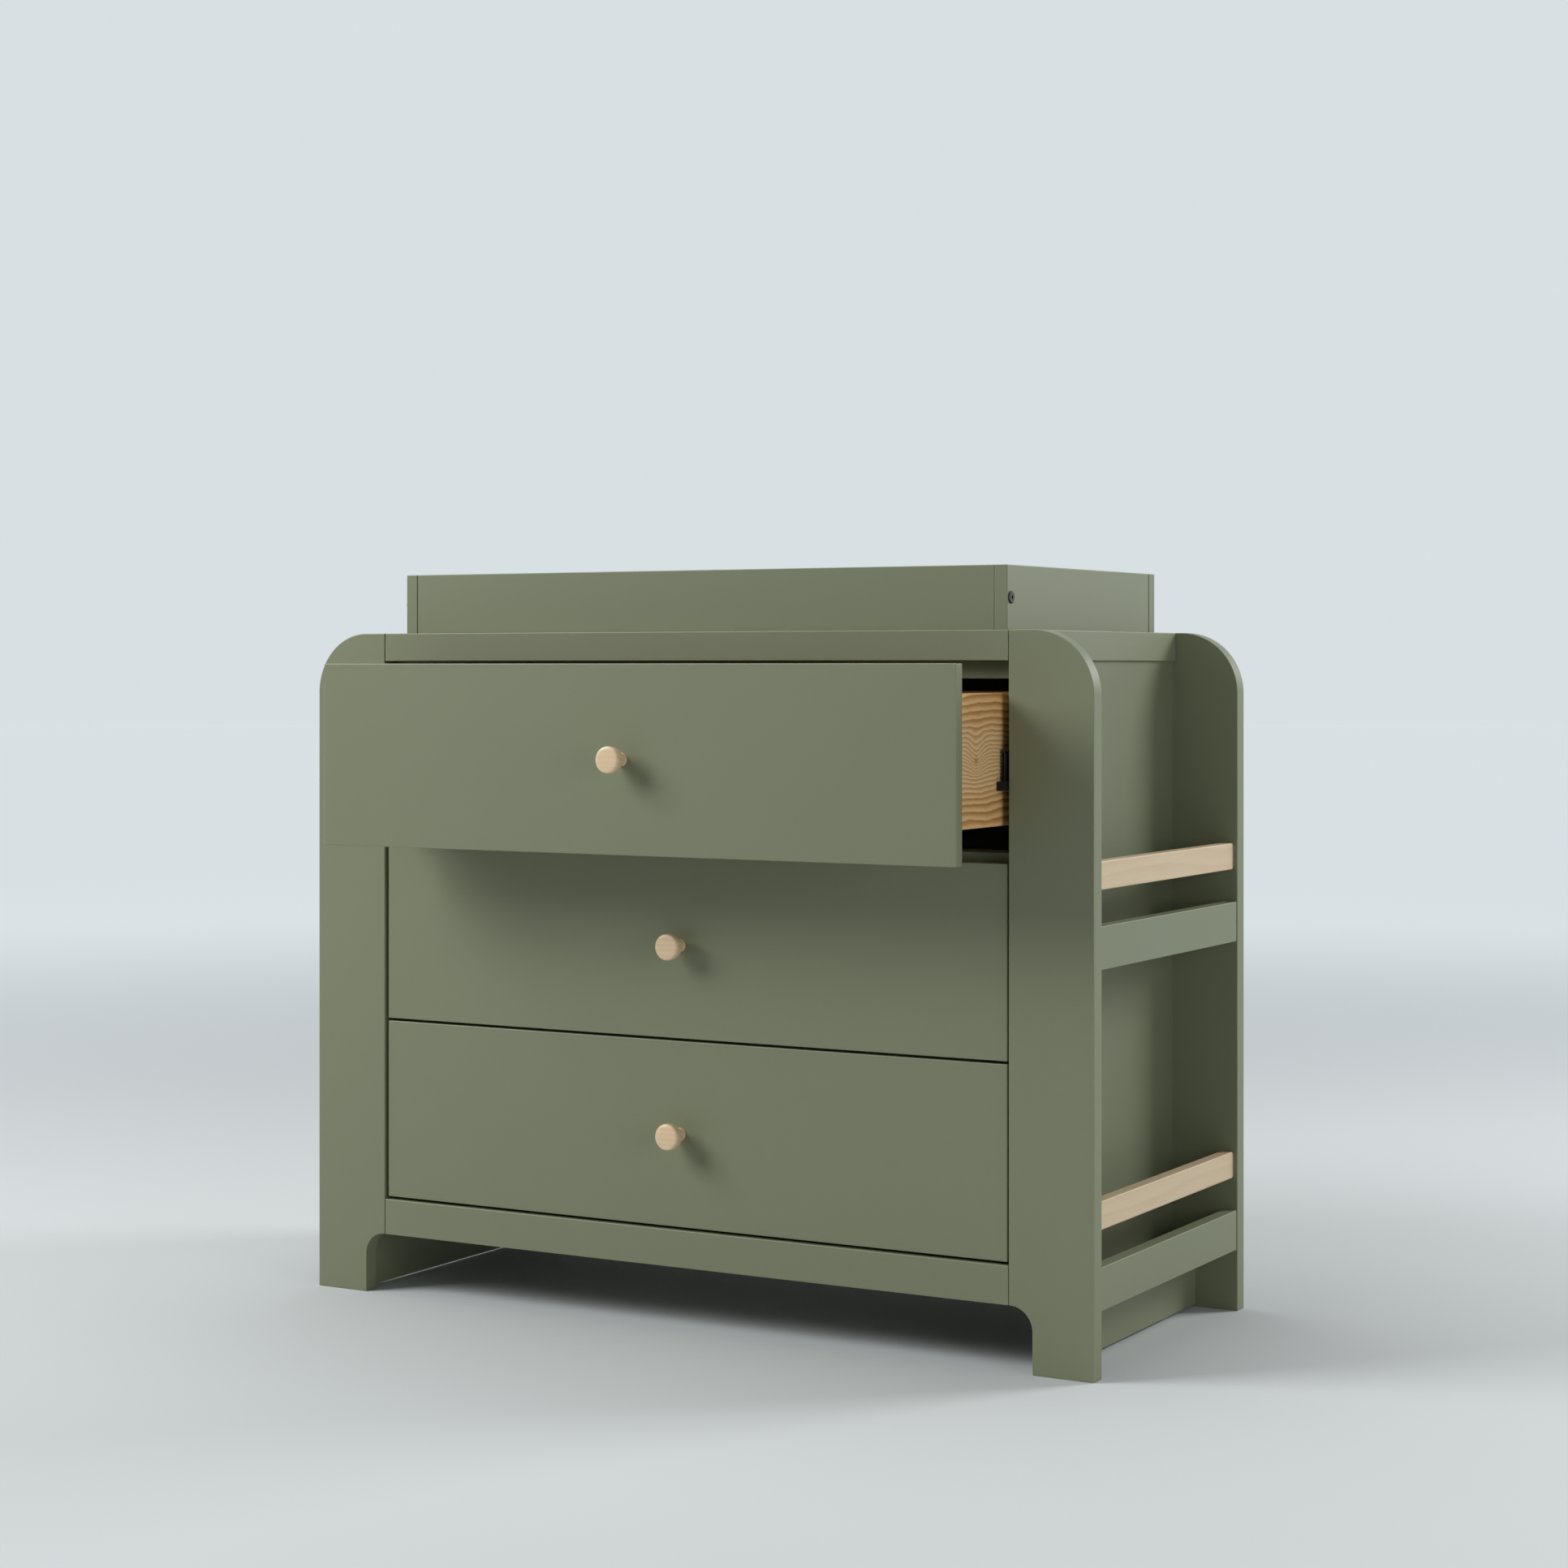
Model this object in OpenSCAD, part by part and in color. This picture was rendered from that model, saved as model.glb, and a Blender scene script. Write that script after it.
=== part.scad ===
// Three-drawer changing dresser with a tray topper and an open book niche at each end.
// Units are millimetres. +X is to the right, the drawers face -Y, +Z is up, the floor is Z = 0.

/* [Carcass] */
// Overall width over the end panels
body_w = 1118; // [1060:2:1200]
// Overall depth from front panel face to rear panel face
body_d = 472; // [440:2:520]
// Height to the top of the carcass
body_h = 864; // [864:1:900]
// Thickness of the four upright end panels
upright_t = 22; // [18:1:26]
// Width of an end panel above its foot
upright_w = 108; // [104:1:116]
// Width of an end panel at its foot
foot_w = 78; // [70:1:84]
// Radius of the big outer corner at the top of an end panel
corner_r = 77; // [40:1:90]
// Height of the apron's lower edge above the floor
arch_h = 78; // [60:1:90]
// Height of the apron and of the panels' arch above it
apron_top = 124; // [118:1:130]
// Height of the rails round the top
top_rail_h = 36; // [30:1:40]
// Width of the small bevel on painted edges
bevel = 1.2; // [0.6:0.1:2]

/* [Drawers] */
// Height of each drawer front
front_h = 230; // [225:1:231]
// Thickness of a drawer front
front_t = 16; // [14:1:18]
// Gap above and below each drawer front
front_gap_z = 3.5; // [2.5:0.5:4]
// Gap at each side of a drawer front
front_gap_x = 3.4; // [2.5:0.1:5]
// How far the closed drawer fronts sit behind the uprights' face
front_inset = 3.5; // [1:0.5:6]
// How far the top drawer is pulled out at rest
rest_pull = 134; // [60:1:200]
// Height of the pine drawer sides
side_h = 155; // [130:1:160]
// Thickness of the pine drawer sides
side_t = 12; // [10:1:15]
// Length of the drawer box behind its front
box_d = 380; // [360:5:395]

/* [Knobs] */
// Largest diameter of a knob
knob_d = 33.4; // [28:0.2:40]
// How far a knob stands out of its drawer front
knob_len = 33; // [26:1:38]

/* [Book niches] */
// Distance from the end panels' outer edge to the case wall
niche_depth = 89; // [80:1:95]
// Height of the shelf lips
lip_h = 50.5; // [40:0.5:60]
// Height of the upper shelf lip's lower edge
upper_shelf_z = 471; // [420:1:520]
// Height of a book bar
bar_h = 33.6; // [26:0.2:40]
// Clear height between a shelf lip and the book bar above it
bar_gap = 41; // [30:1:60]
// Thickness of a book bar
bar_t = 16; // [10:1:18]
// How far the book bars sit inside the end panels' outer edge
bar_inset = 5.2; // [2:0.2:8]

/* [Topper] */
// Width of the topper tray over its side boards
tray_w = 872; // [840:1:890]
// Set-back of the topper's front board from the uprights' face
tray_setback = 28; // [5:1:40]
// Height of the topper boards
tray_h = 76.8; // [60:0.2:110]
// Thickness of the topper boards
tray_t = 17; // [15:1:20]
// Diameter of a topper bolt's head
bolt_head_d = 15; // [10:0.5:18]

/* [Hidden] */
$fn = 96;

eps = 0.5;                                  // overshoot of every cutter past the face it cuts
sage = [0.49, 0.51, 0.43];
sage_shade = [0.43, 0.45, 0.37];
beech = [0.84, 0.73, 0.59];
pine = [0.87, 0.78, 0.62];
steel_black = [0.09, 0.09, 0.09];
bolt_grey = [0.25, 0.25, 0.25];

half_w = body_w / 2;
upright_in = half_w - upright_w;            // inner edge of the uprights, from the middle
foot_in = half_w - foot_w;
arch_r = upright_w - foot_w - 1;            // concave blend from the foot into the apron
niche_y0 = upright_t;                       // the niches and walls run between the uprights
niche_y1 = body_d - upright_t;
niche_len = niche_y1 - niche_y0;
wall_out = half_w - niche_depth;            // outer face of the case walls
wall_t = 17;
wall_in = wall_out - wall_t;
rail_z = body_h - top_rail_h;
side_rail_proud = 5;                        // side top rails stand out from the case walls
side_rail_t = side_rail_proud + wall_t;
panel_t = 16;
back_t = 5;
back_y = niche_y1 - back_t;
bottom_z = apron_top - panel_t - 2;          // case bottom, a little below the apron's top

inner_rail_y = 25;                          // rails behind the drawer fronts
inner_rail_t = 18;
inner_rail_h = 21;
divider_h = 22;
divider_d = 60;
divider_rise = 11;                          // a divider's top above the gap that it stands behind

shelf_t = 16;
lip_t = 17.7;
lip_inset = 1;
lower_shelf_z = arch_h;
base_inset = 56.3;
base_t = 15;
base_clear = 4;
bar_r = 5;
lip_levels = [upper_shelf_z, lower_shelf_z];

levels = 3;
front_w = 2 * (upright_in - front_gap_x);
pitch = front_h + front_gap_z;
front_z = [for (i = [0 : levels - 1]) apron_top + front_gap_z + (levels - 1 - i) * pitch];
pulls = [rest_pull, 0, 0];                  // how far each drawer is out at rest
box_y = front_inset + front_t;
box_rise = 40.6;                            // drawer sides above the front's lower edge
track_gap = 13.2;                           // between a case wall and a drawer side
box_out = wall_in - track_gap;              // outer face of a drawer side
bottom_t = 6;
bottom_rise = 10;
groove = 6;                                 // how far the drawer bottom enters the sides and front
groove_fit = 0.1;
back_board_t = 12;
screw_r = 2;
screw_hole_r = 2.1;
screw_bite = 14;                            // how far a knob's screw enters the knob
screw_head_r = 4.5;
screw_head_t = 3;

track_rise = 110.5;                           // middle of a track above its drawer front's lower edge
track_len = 330;
track_y = 76.5;                             // just behind the closed middle member's stop block
track_h = 45;
track_plate = 1.2;
track_flange = 8.5;
middle_y = 64;                              // closed positions of the moving track members
middle_len = 330;
middle_h = 38;
middle_web = 5.6;
middle_wing = 2.2;
middle_out = 10.2;
stop_lead = 7;
stop_len = 18;
stop_h = 10.8;
stop_in = 3.6;
stop_out = 12.9;
member_y = 140;
member_len = 258;
member_h = 29;
member_in = 7.8;
travel_share = 0.5;                         // a middle member moves half as far as its drawer

tray_y0 = tray_setback;
tray_half = tray_w / 2;
tray_len = body_d - tray_setback;
tray_back_t = 18;
tray_mid_z = body_h + tray_h / 2;
tray_bolt_in = 9.5;
bolt_shank_r = 3;
bolt_hole_r = 3.2;
bolt_len = 58;
bolt_head_t = 2;
bolt_socket = 5;

knob_r = knob_d / 2;
rim_r = 3.2;                                // rounding of the knob's face
stem_r = 7.6;
foot_r = 8.4;
tip_y = front_inset - rest_pull - knob_len;
middle = (body_d + tip_y) / 2;              // the frame's origin lies mid-way front to back

// ---------- helpers ----------

// Moves a shape from "front face at Y = 0" into the part's frame.
module place() {
    translate([0, -middle, 0]) children();
}

// Repeats a right-hand piece, or its mirror image, side = 1 for the right and -1 for the left.
module at_side(side) {
    if (side > 0) children();
    else mirror([1, 0, 0]) children();
}

// Box between two corners.
module block(low, high) {
    translate(low) cube(high - low);
}

// Box whose front (-Y) face has a small bevel all round.
module beveled_front(low, high, c) {
    w = high[0] - low[0];
    d = high[1] - low[1];
    h = high[2] - low[2];
    translate(low) intersection() {
        linear_extrude(h) polygon([[c, 0], [w - c, 0], [w, c], [w, d], [0, d], [0, c]]);
        rotate([90, 0, 90]) linear_extrude(w) polygon([[0, c], [c, 0], [d, 0], [d, h], [c, h], [0, h - c]]);
    }
}

// Board along Y whose outer (+X) face and upper edges have a small bevel.
module beveled_board(low, high, c) {
    w = high[0] - low[0];
    h = high[2] - low[2];
    translate([low[0], high[1], low[2]]) rotate([90, 0, 0]) linear_extrude(high[1] - low[1])
        polygon([[0, 0], [w - c, 0], [w, c], [w, h - c], [w - c, h], [c, h], [0, h - c]]);
}

// ---------- uprights ----------

// Outline of the right upright in X and Z: rounded outer top corner, arched foot.
module upright_outline() {
    difference() {
        translate([upright_in, 0]) square([upright_w, body_h]);
        difference() {
            translate([half_w - corner_r, body_h - corner_r]) square(corner_r + eps);
            translate([half_w - corner_r, body_h - corner_r]) circle(corner_r);
        }
        difference() {
            translate([upright_in - eps, -eps]) square([foot_in - upright_in + eps, arch_h + eps]);
            arch_blend();
        }
    }
}

// The fillet of material left between the foot's inner edge and the arch's crown.
module arch_blend() {
    difference() {
        translate([foot_in - arch_r, arch_h - arch_r]) square([arch_r + eps, arch_r + eps]);
        translate([foot_in - arch_r, arch_h - arch_r]) circle(arch_r);
    }
}

// Bevel cutters along the straight inner edge and the outer edge and corner, front face only.
module upright_bevels() {
    translate([0, 0, arch_h + bevel]) linear_extrude(body_h)
        polygon([[upright_in - eps, -eps], [upright_in + bevel + eps, -eps], [upright_in - eps, bevel + eps]]);
    translate([0, 0, -eps]) linear_extrude(body_h - corner_r + eps)
        polygon([[half_w + eps, -eps], [half_w - bevel - eps, -eps], [half_w + eps, bevel + eps]]);
    intersection() {
        translate([half_w - corner_r, 0, body_h - corner_r]) rotate([-90, 0, 0]) rotate_extrude()
            polygon([[corner_r + eps, -eps], [corner_r - bevel - eps, -eps], [corner_r + eps, bevel + eps]]);
        block([half_w - corner_r, -2 * eps, body_h - corner_r], [half_w + 2 * eps, 2 * bevel + eps, body_h + 2 * eps]);
    }
}

module upright(side, rear) {
    color(rear ? sage_shade : sage) place() at_side(side) translate([0, rear ? body_d : 0, 0])
        mirror([0, rear ? 1 : 0, 0]) difference() {
            translate([0, upright_t, 0]) rotate([90, 0, 0]) linear_extrude(upright_t) upright_outline();
            upright_bevels();
        }
}

// ---------- carcass ----------

module rail_top_front() {
    color(sage) place()
        beveled_front([-upright_in, 0, rail_z], [upright_in, upright_t, body_h], bevel);
}

module rail_top_rear() {
    color(sage_shade) place()
        block([-upright_in, niche_y1, rail_z], [upright_in, body_d, body_h]);
}

// Side top rail, between the front and rear uprights and a little proud of the wall below it.
module rail_top_side(side) {
    color(sage) place() at_side(side)
        beveled_board([wall_in, niche_y0, rail_z], [wall_in + side_rail_t, niche_y1, body_h], bevel);
}

// Rail just behind the top drawer front, which closes the gap below the case top.
module rail_inner_top() {
    color(sage_shade) place()
        block([-wall_in, inner_rail_y, rail_z - inner_rail_h], [wall_in, inner_rail_y + inner_rail_t, rail_z]);
}

module case_top() {
    color(sage) place()
        block([-wall_in, niche_y0, body_h - panel_t], [wall_in, niche_y1, body_h]);
}

// Two dust rails, each standing behind the gap between two drawer fronts.
module dividers() {
    color(sage_shade) place() for (i = [0 : levels - 2]) {
        top = front_z[i] - front_gap_z + divider_rise;
        block([-wall_in, inner_rail_y, top - divider_h], [wall_in, inner_rail_y + divider_d, top]);
    }
}

module apron_front() {
    color(sage) place()
        beveled_front([-upright_in, 0, arch_h], [upright_in, upright_t, apron_top], bevel);
}

module apron_rear() {
    color(sage_shade) place()
        block([-upright_in, niche_y1, arch_h], [upright_in, body_d, apron_top]);
}

module wall(side) {
    color(sage_shade) place() at_side(side)
        block([wall_in, niche_y0, arch_h + shelf_t], [wall_out, niche_y1, rail_z]);
}

module case_bottom() {
    color(sage_shade) place()
        block([-wall_in, niche_y0, bottom_z], [wall_in, back_y, bottom_z + panel_t]);
}

module case_back() {
    color(sage_shade) place()
        block([-wall_in, back_y, bottom_z], [wall_in, niche_y1, body_h - panel_t]);
}

// Board from front foot to rear foot below the lower shelf.
module base_board(side) {
    color(sage_shade) place() at_side(side)
        block([half_w - base_inset - base_t, niche_y0, base_clear], [half_w - base_inset, niche_y1, arch_h]);
}

// ---------- book niches ----------

module shelves(side) {
    color(sage_shade) place() at_side(side) {
        block([wall_out, niche_y0, upper_shelf_z], [half_w - lip_inset - lip_t, niche_y1, upper_shelf_z + shelf_t]);
        block([wall_in, niche_y0, lower_shelf_z], [half_w - lip_inset - lip_t, niche_y1, lower_shelf_z + shelf_t]);
    }
}

module lip(side, z) {
    color(sage) place() at_side(side)
        block([half_w - lip_inset - lip_t, niche_y0, z], [half_w - lip_inset, niche_y1, z + lip_h]);
}

// Book bar with rounded ends, between the uprights.
module bar(side, z) {
    color(beech) place() at_side(side)
        translate([half_w - bar_inset - bar_t, niche_y0, z + lip_h + bar_gap])
            rotate([90, 0, 90]) linear_extrude(bar_t) rounded_rect(niche_len, bar_h, bar_r);
}

module rounded_rect(w, h, r) {
    translate([r, 0]) square([w - 2 * r, h]);
    translate([0, r]) square([w, h - 2 * r]);
    for (x = [r, w - r])
        for (y = [r, h - r])
            translate([x, y]) circle(r);
}

// ---------- topper ----------

// The front and back boards of the tray lie between and behind the side boards.
module tray_front() {
    color(sage) place() difference() {
        beveled_front([-tray_half + tray_t, tray_y0, body_h], [tray_half - tray_t, tray_y0 + tray_t, body_h + tray_h], bevel / 2);
        tray_bolt_holes(bolt_shank_r + groove_fit);
    }
}

module tray_back() {
    color(sage) place() difference() {
        block([-tray_half, body_d - tray_back_t, body_h], [tray_half, body_d, body_h + tray_h]);
        tray_bolt_holes(bolt_shank_r + groove_fit);
    }
}

module tray_side(side) {
    color(sage) place() difference() {
        at_side(side) beveled_board(
            [tray_half - tray_t, tray_y0, body_h], [tray_half, body_d - tray_back_t, body_h + tray_h], bevel / 2);
        tray_bolt_holes(bolt_hole_r);
    }
}

// Bolt axes: two along X through the side boards, two along Y through the back board.
module tray_bolt_axes() {
    for (side = [-1, 1]) {
        translate([side * tray_half, tray_y0 + tray_bolt_in, tray_mid_z]) rotate([0, side * 90, 0]) children();
        translate([side * (tray_half - tray_t / 2), body_d, tray_mid_z]) rotate([-90, 0, 0]) children();
    }
}

module tray_bolt_holes(r) {
    tray_bolt_axes() translate([0, 0, -bolt_len - eps]) cylinder(h = bolt_len + 2 * eps, r = r);
}

// Round-headed bolt with a hexagon socket, its head resting on the board.
module tray_bolt() {
    difference() {
        union() {
            translate([0, 0, -bolt_len]) cylinder(h = bolt_len + eps, r = bolt_shank_r);
            cylinder(h = bolt_head_t * 0.6, r = bolt_head_d / 2);
            translate([0, 0, bolt_head_t * 0.6]) cylinder(h = bolt_head_t * 0.4, r1 = bolt_head_d / 2, r2 = bolt_head_d / 2 - 1);
        }
        translate([0, 0, -bolt_head_t]) cylinder(h = 3 * bolt_head_t, d = bolt_socket, $fn = 6);
    }
}

module tray_bolts() {
    color(bolt_grey) place() tray_bolt_axes() tray_bolt();
}

// ---------- drawer tracks ----------

// Puts a right-hand track piece at a level, on both sides, moved out by pull.
// Inside it, X runs from the case wall towards the drawer and Z is measured from the track's middle.
module track_place(i, pull) {
    for (side = [-1, 1])
        at_side(side) translate([wall_in, -pull, front_z[i] + track_rise]) mirror([1, 0, 0]) children();
}

// Channel screwed to the case wall.
module track_channel() {
    plate = track_plate;
    block([0, track_y, -track_h / 2], [plate, track_y + track_len, track_h / 2]);
    for (z = [-track_h / 2, track_h / 2 - plate])
        block([0, track_y, z], [track_flange, track_y + track_len, z + plate]);
}

// Telescoping middle member with a stop block under its front end.
module track_slider() {
    plate = track_plate;
    y1 = middle_y + middle_len;
    block([middle_web, middle_y, -middle_h / 2], [middle_web + plate, y1, middle_h / 2]);
    for (z = [-middle_h / 2, middle_h / 2 - plate])
        block([middle_wing, middle_y, z], [middle_out, y1, z + plate]);
    block([stop_in, middle_y - stop_lead, -middle_h / 2 - stop_h + plate],
        [stop_out, middle_y - stop_lead + stop_len, -middle_h / 2 + plate]);
}

// Channel screwed to the drawer side.
module track_member() {
    plate = track_plate;
    y1 = member_y + member_len;
    block([track_gap - plate, member_y, -member_h / 2], [track_gap, y1, member_h / 2]);
    for (z = [-member_h / 2, member_h / 2 - plate])
        block([member_in, member_y, z], [track_gap, y1, z + plate]);
}

module track_fixed() {
    color(steel_black) place() for (i = [0 : levels - 1]) track_place(i, 0) track_channel();
}

module track_middle(i) {
    color(steel_black) place() track_place(i, pulls[i] * travel_share) track_slider();
}

module track_drawer(i) {
    color(steel_black) place() track_place(i, pulls[i]) track_member();
}

// ---------- drawers ----------

// Moves a drawer's pieces to their level and out by its rest pull.
module drawer_place(i) {
    place() translate([0, -pulls[i], front_z[i]]) children();
}

module front(i) {
    color(sage) drawer_place(i) difference() {
        beveled_front([-front_w / 2, front_inset, 0], [front_w / 2, box_y, front_h], bevel);
        drawer_bottom_board(groove_fit);
        knob_axis() translate([0, 0, -front_t - eps]) cylinder(h = front_t + 2 * eps, r = screw_hole_r);
    }
}

module drawer_side(i, side) {
    color(pine) drawer_place(i) difference() {
        at_side(side) block([box_out - side_t, box_y, box_rise], [box_out, box_y + box_d, box_rise + side_h]);
        drawer_bottom_board(groove_fit);
    }
}

module drawer_back(i) {
    y1 = box_y + box_d;
    color(pine) drawer_place(i)
        block([-box_out + side_t, y1 - back_board_t, box_rise + bottom_rise + bottom_t],
            [box_out - side_t, y1, box_rise + side_h]);
}

// The drawer bottom, or the groove that it slides into when grown by a clearance.
module drawer_bottom_board(grow) {
    x = box_out - side_t + groove + grow;
    z = box_rise + bottom_rise;
    block([-x, box_y - groove - grow, z - grow], [x, box_y + box_d + (grow > 0 ? eps : 0), z + bottom_t + grow]);
}

module drawer_bottom(i) {
    color(pine) drawer_place(i) drawer_bottom_board(0);
}

// Axis of a drawer's knob, from the middle of the front's face outwards.
module knob_axis() {
    translate([0, front_inset, front_h / 2]) rotate([90, 0, 0]) children();
}

// Turned knob: rounded face, slightly tapered head and waisted stem, with a bore for its screw.
module knob_turning() {
    difference() {
        rotate_extrude() polygon(concat(
            [[0, 0], [foot_r, 0], [foot_r, 1.2]],
            [for (a = [0 : 15 : 75]) [stem_r + 6 * (1 - cos(a)), 5 + 11.5 * sin(a)]],
            [[knob_r - 2.3, 18], [knob_r - 1.3, 19.6]],
            [for (a = [0 : 15 : 90]) [knob_r - rim_r + rim_r * cos(a), knob_len - rim_r + rim_r * sin(a)]],
            [[0, knob_len]]
        ));
        translate([0, 0, -eps]) cylinder(h = screw_bite + 2 * eps, r = screw_hole_r);
    }
}

// Pan-head screw from inside the drawer through its front into the knob.
module knob_screw() {
    translate([0, 0, -front_t - eps]) cylinder(h = front_t + screw_bite + eps, r = screw_r);
    translate([0, 0, -front_t - screw_head_t]) cylinder(h = screw_head_t, r = screw_head_r);
}

module knob(i) {
    drawer_place(i) knob_axis() {
        color(beech) knob_turning();
        color("silver") knob_screw();
    }
}

upright(-1, false);  // upright_front_left
upright(1, false);  // upright_front_right
upright(-1, true);  // upright_rear_left
upright(1, true);  // upright_rear_right
rail_top_front();
rail_top_rear();
rail_top_side(-1);  // rail_top_left
rail_top_side(1);  // rail_top_right
rail_inner_top();
case_top();
dividers();
apron_front();
apron_rear();
wall(-1);  // wall_left
wall(1);  // wall_right
case_bottom();
case_back();
base_board(-1);  // base_board_left
base_board(1);  // base_board_right
shelves(-1);  // shelves_left
shelves(1);  // shelves_right
lip(-1, upper_shelf_z);  // lip_upper_left
lip(-1, lower_shelf_z);  // lip_lower_left
lip(1, upper_shelf_z);  // lip_upper_right
lip(1, lower_shelf_z);  // lip_lower_right
bar(-1, upper_shelf_z);  // bar_upper_left
bar(-1, lower_shelf_z);  // bar_lower_left
bar(1, upper_shelf_z);  // bar_upper_right
bar(1, lower_shelf_z);  // bar_lower_right
tray_front();
tray_back();
tray_side(-1);  // tray_left
tray_side(1);  // tray_right
tray_bolts();
track_fixed();
track_middle(0);  // track_middle_1
track_middle(1);  // track_middle_2
track_middle(2);  // track_middle_3
track_drawer(0);  // track_drawer_1
track_drawer(1);  // track_drawer_2
track_drawer(2);  // track_drawer_3
front(0);  // front_1
front(1);  // front_2
front(2);  // front_3
drawer_side(0, -1);  // side_left_1
drawer_side(1, -1);  // side_left_2
drawer_side(2, -1);  // side_left_3
drawer_side(0, 1);  // side_right_1
drawer_side(1, 1);  // side_right_2
drawer_side(2, 1);  // side_right_3
drawer_back(0);  // back_1
drawer_back(1);  // back_2
drawer_back(2);  // back_3
drawer_bottom(0);  // bottom_1
drawer_bottom(1);  // bottom_2
drawer_bottom(2);  // bottom_3
knob(0);  // knob_1
knob(1);  // knob_2
knob(2);  // knob_3
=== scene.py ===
# %% [markdown]
# # A painted changing table
# This notebook dresses a changing table that is already built as a set of boards, drawers and tracks.
# The real one is a chest of three drawers in sage-green satin paint, with an open book niche at each
# end, pale hardwood bars and knobs, pine drawer boxes on black steel tracks, and a tray on top.
# The construction comes in as a fixed frame of named parts. What is made here is its looks.

import bpy
import numpy as np
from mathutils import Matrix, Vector


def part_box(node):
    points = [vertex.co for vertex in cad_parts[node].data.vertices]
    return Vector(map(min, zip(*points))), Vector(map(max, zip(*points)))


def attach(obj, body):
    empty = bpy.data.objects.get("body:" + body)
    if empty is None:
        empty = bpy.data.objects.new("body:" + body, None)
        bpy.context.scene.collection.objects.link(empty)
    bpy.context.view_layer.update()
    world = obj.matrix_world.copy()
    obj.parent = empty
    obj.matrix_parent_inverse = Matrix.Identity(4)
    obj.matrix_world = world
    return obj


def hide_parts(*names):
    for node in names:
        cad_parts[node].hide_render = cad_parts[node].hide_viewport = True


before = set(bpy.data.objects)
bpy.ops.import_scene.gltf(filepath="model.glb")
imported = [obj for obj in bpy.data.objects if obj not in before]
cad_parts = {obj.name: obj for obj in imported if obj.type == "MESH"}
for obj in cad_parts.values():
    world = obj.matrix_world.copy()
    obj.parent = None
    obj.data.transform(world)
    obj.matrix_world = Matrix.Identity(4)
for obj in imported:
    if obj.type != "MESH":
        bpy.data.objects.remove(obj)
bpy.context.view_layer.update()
MM = 0.001
print("nodes in the frame:", len(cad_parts))

# %% [markdown]
# ## Softened boards
# Sprayed boards never have knife edges: sanding leaves a radius of about a millimetre, and that small
# curve is what catches the light. A bevel modifier could add it, but a board is simple enough to write
# down. Take the board's outline, and carry a quarter-round, a straight stretch and another quarter-round
# along it. Because the formula is known, the exact surface direction at every point is known too, so the
# flats shade perfectly flat and the edges perfectly round.

# %% Outlines
def turn(centre, radius, start, end, steps=6):
    """Arc of an outline: centre + radius * (cos, sin), and the outward direction at each point.

    Angles are in degrees. When end is below start the arc is hollow, and outward is towards its centre.
    """
    angle = np.radians(np.linspace(start, end, steps + 1))
    ray = np.stack([np.cos(angle), np.sin(angle)], axis=1)
    outward = ray if end > start else -ray
    return np.asarray(centre) + radius * ray, outward


def chain(arcs):
    """Joins arcs end to end; the straight edges are the gaps between them."""
    return np.concatenate([a[0] for a in arcs]), np.concatenate([a[1] for a in arcs])


def rectangle(low, high, corner):
    """Rectangle with corners of the given radius, one quarter arc at each."""
    (x0, y0), (x1, y1) = low, high
    return chain([
        turn((x1 - corner, y0 + corner), corner, -90, 0),
        turn((x1 - corner, y1 - corner), corner, 0, 90),
        turn((x0 + corner, y1 - corner), corner, 90, 180),
        turn((x0 + corner, y0 + corner), corner, 180, 270),
    ])

# %% Meshes from whole arrays
def facing_out(points, faces):
    """Turns every face round if the signed volume, the sum of (a x b) . c / 6, is negative."""
    triangles = np.array([(f[0], f[i], f[i + 1]) for f in faces for i in range(1, len(f) - 1)])
    a, b, c = (points[triangles[:, k]] for k in range(3))
    volume = np.einsum("ij,ij->i", np.cross(a, b), c).sum() / 6
    return faces if volume > 0 else [f[::-1] for f in faces]


def tube(rings, count):
    """Faces of a closed tube: quads from each ring of points to the next, and one face over either end.

    Point i of ring j has the number j * count + i.
    """
    i = np.arange(count)
    j = np.arange(rings - 1)[:, None] * count
    after = (i + 1) % count
    quads = np.stack([j + i, j + after, j + count + after, j + count + i], axis=2).reshape(-1, 4)
    last = (rings - 1) * count
    return quads.tolist() + [list(range(count))[::-1], list(range(last, last + count))]


def new_piece(name, points, faces, directions, edge=None):
    """Mesh object at the origin, shaded by the given directions, with an optional "edge" mask."""
    mesh = bpy.data.meshes.new(name)
    mesh.from_pydata(points.tolist(), [], facing_out(points, faces))
    mesh.polygons.foreach_set("use_smooth", np.ones(len(mesh.polygons), dtype=bool))
    if edge is not None:
        mesh.attributes.new("edge", "FLOAT", "POINT").data.foreach_set("value", edge.astype(np.float32))
    mesh.validate()
    mesh.normals_split_custom_set_from_vertices(directions.tolist())
    piece = bpy.data.objects.new(name, mesh)
    bpy.context.scene.collection.objects.link(piece)
    return piece


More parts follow.
